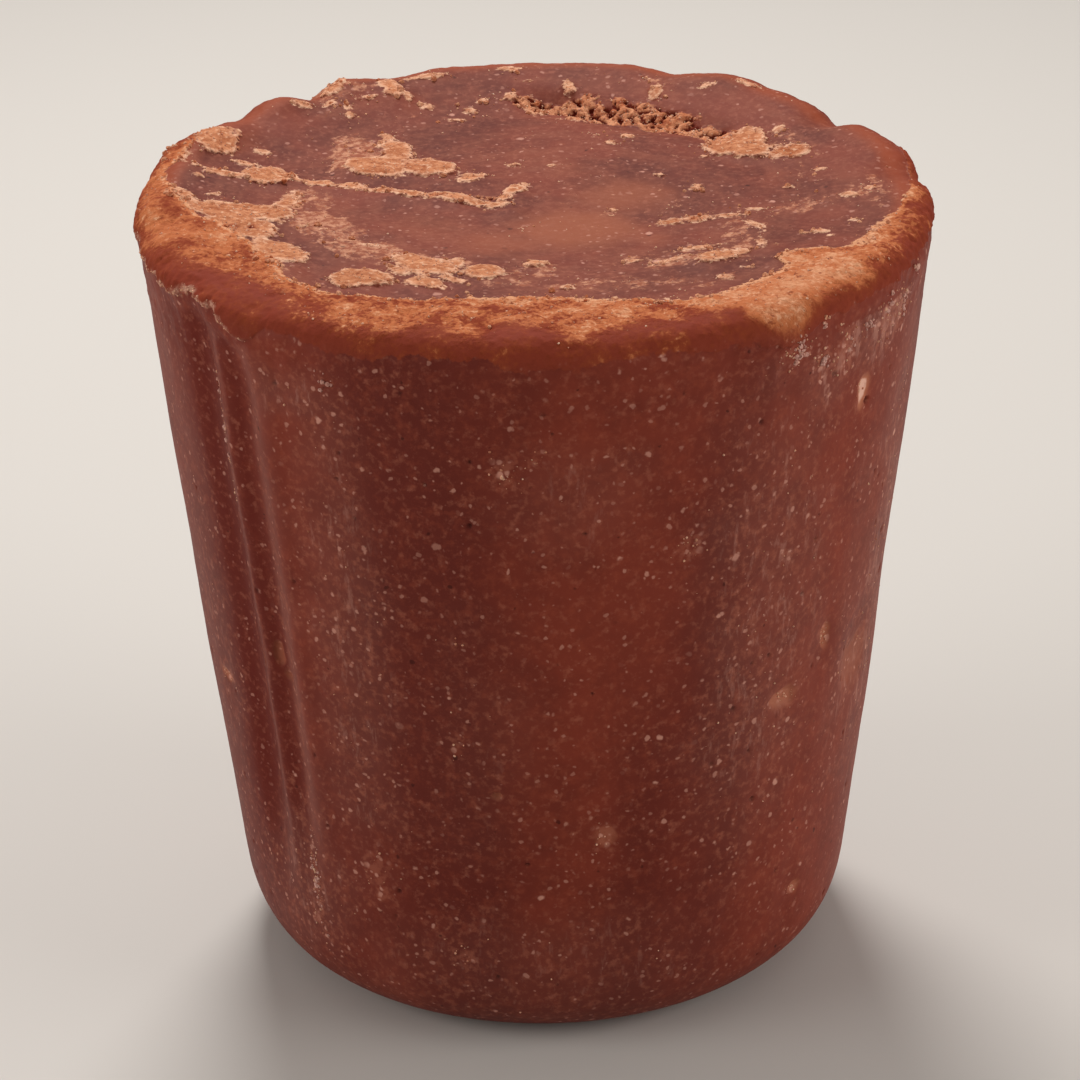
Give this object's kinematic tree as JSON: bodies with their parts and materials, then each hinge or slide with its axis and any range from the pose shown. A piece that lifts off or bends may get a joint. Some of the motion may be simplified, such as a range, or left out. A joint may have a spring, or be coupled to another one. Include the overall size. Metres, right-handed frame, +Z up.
{
  "type": "jaggery block",
  "caption": "Tapered drum of set raw cane sugar with a rounded bottom edge, a crusted rim and plates of froth on its flat poured top.",
  "frame": {"origin": "on the floor, below the middle of the block's box", "axes": "+Z up, from the narrow end that it stands on to the poured face; +Y from the front, where the rim's crust is broad, to the back, where the rim stands up in lobes; +X to the right"},
  "size_m": [0.1038, 0.1038, 0.1084],
  "materials": {
    "jaggery": "satin, waxy red-brown cast sugar, with a rough, paler orange-brown crust on the rim and on the plates of froth"
  },
  "bodies": {
    "root": {"jaggery_block": "jaggery"}
  },
  "joints": []
}
